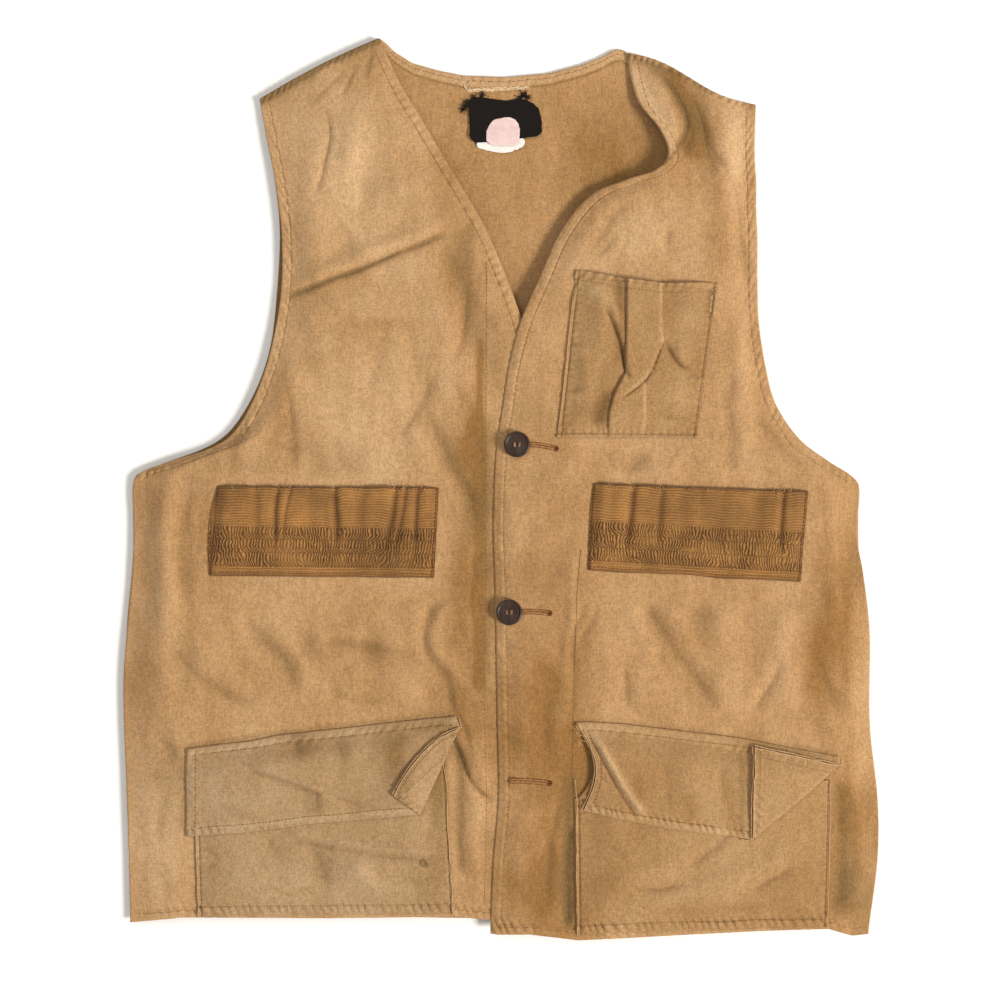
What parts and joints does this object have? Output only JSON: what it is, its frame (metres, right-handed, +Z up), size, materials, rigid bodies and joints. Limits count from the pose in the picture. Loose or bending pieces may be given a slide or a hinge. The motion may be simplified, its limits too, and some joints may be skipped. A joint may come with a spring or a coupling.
{
  "type": "hunting vest",
  "caption": "Sleeveless cotton canvas hunting vest, lying flat and buttoned, with flapped hip pockets, a pleated chest pocket and elastic cartridge bands.",
  "frame": {"origin": "centre of the bounding box in X and Y, on the surface that the vest lies on", "axes": "+Y from the hem to the neck, +Z up out of the front, +X towards the wearer's left"},
  "size_m": [0.5818, 0.6914, 0.0338],
  "materials": {
    "canvas": "faded cotton duck canvas",
    "canvas_inside": "inside of cotton duck canvas",
    "pocket_canvas": "worn cotton duck canvas",
    "elastic": "ribbed and smocked elastic webbing",
    "button": "moulded brown",
    "thread": "sewing thread",
    "label": "black woven label",
    "tag": "white satin tape",
    "sticker": "paper sticker"
  },
  "bodies": {
    "root": {"back_panel": "canvas_inside", "front_right": "canvas", "front_left": "canvas", "chest_pocket": "pocket_canvas", "shell_band_right": "elastic", "shell_band_left": "elastic", "hip_pocket_right": "pocket_canvas", "hip_pocket_left": "pocket_canvas", "flap_right": "pocket_canvas", "flap_left": "pocket_canvas", "button_upper": "button", "thread_upper": "thread", "button_middle": "button", "thread_middle": "thread", "neck_label": "label", "size_tag": "tag", "tag_sticker": "sticker"}
  },
  "joints": []
}
